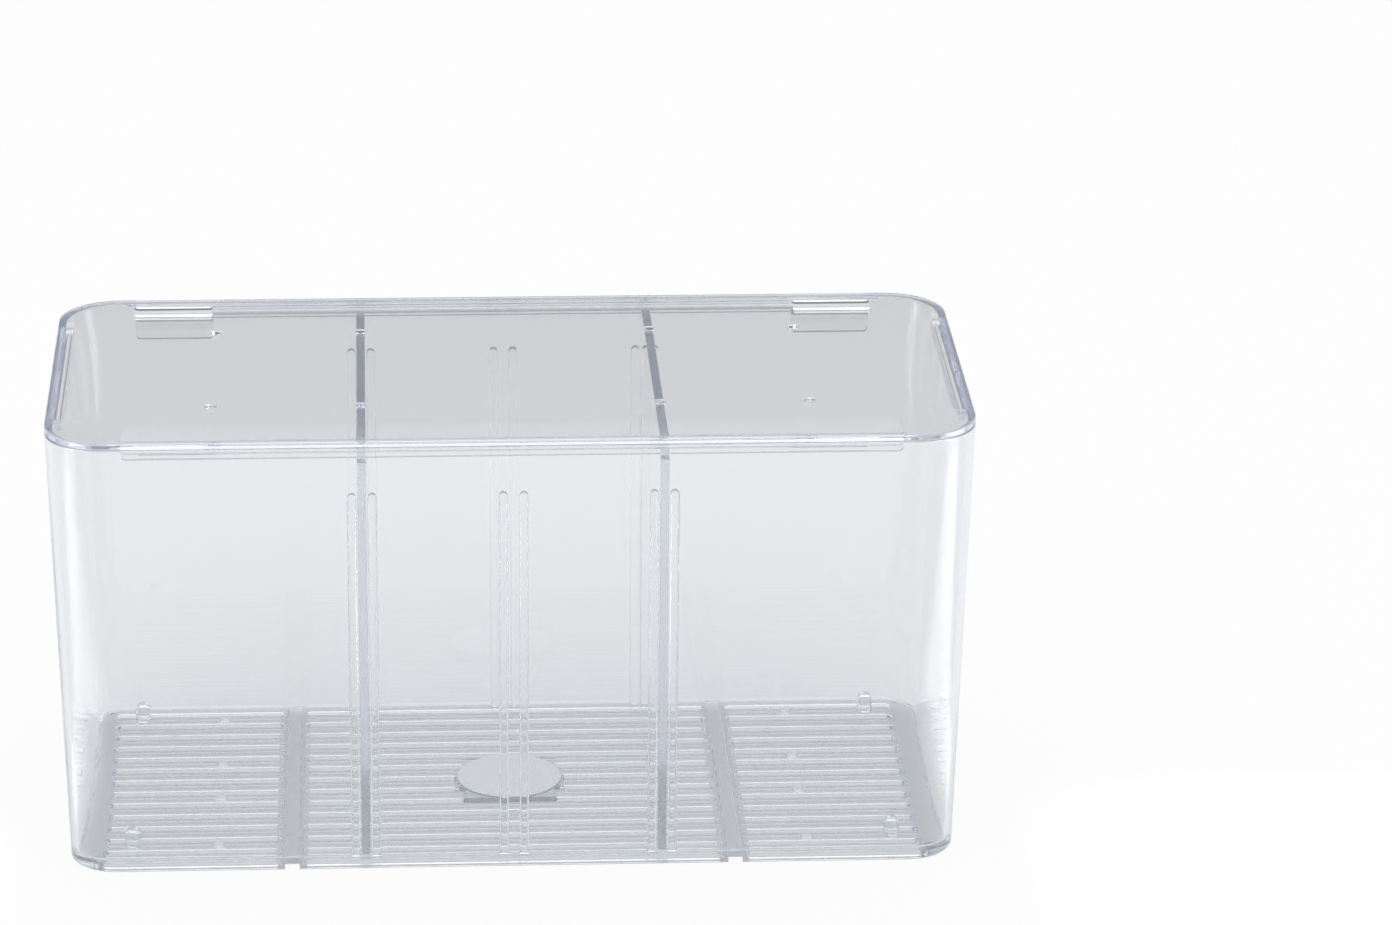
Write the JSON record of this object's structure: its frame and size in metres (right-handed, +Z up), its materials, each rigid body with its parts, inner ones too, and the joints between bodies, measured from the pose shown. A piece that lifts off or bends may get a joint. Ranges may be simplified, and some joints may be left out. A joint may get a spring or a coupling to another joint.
{
  "type": "fish breeding box",
  "caption": "Clear lidded breeding tank with leaning walls, a slotted floor and lift-out dividers that slide in moulded guides.",
  "frame": {"origin": "middle of the foot, on the surface that the tank stands on", "axes": "+X along the length of the tank, +Y to the back, where the lid's tabs are, +Z up"},
  "size_m": [0.21, 0.098, 0.1061],
  "materials": {
    "tank_plastic": "crystal-clear moulded polystyrene with a faint blue-lilac edge tint",
    "divider_plastic": "crystal-clear moulded polystyrene sheet, polished faces",
    "lid_plastic": "crystal-clear moulded polystyrene with a faint blue-lilac edge tint"
  },
  "bodies": {
    "tank": {"tank": "tank_plastic"},
    "divider_left": {"divider_left": "divider_plastic"},
    "divider_right": {"divider_right": "divider_plastic"},
    "lid": {"lid": "lid_plastic"}
  },
  "joints": [
    {"name": "lid_lift", "type": "slide", "parent": "tank", "child": "lid", "axis": [0, 0, 1], "range_m": [0, 0.13]},
    {"name": "divider_left_draw", "type": "slide", "parent": "tank", "child": "divider_left", "axis": [0, 0, 1], "range_m": [0, 0.104]},
    {"name": "divider_right_draw", "type": "slide", "parent": "tank", "child": "divider_right", "axis": [0, 0, 1], "range_m": [0, 0.104]}
  ],
  "couplings": [
    {"joint": "divider_left_draw", "follows": "lid_lift", "ratio": 0.8},
    {"joint": "divider_right_draw", "follows": "lid_lift", "ratio": 0.8}
  ]
}
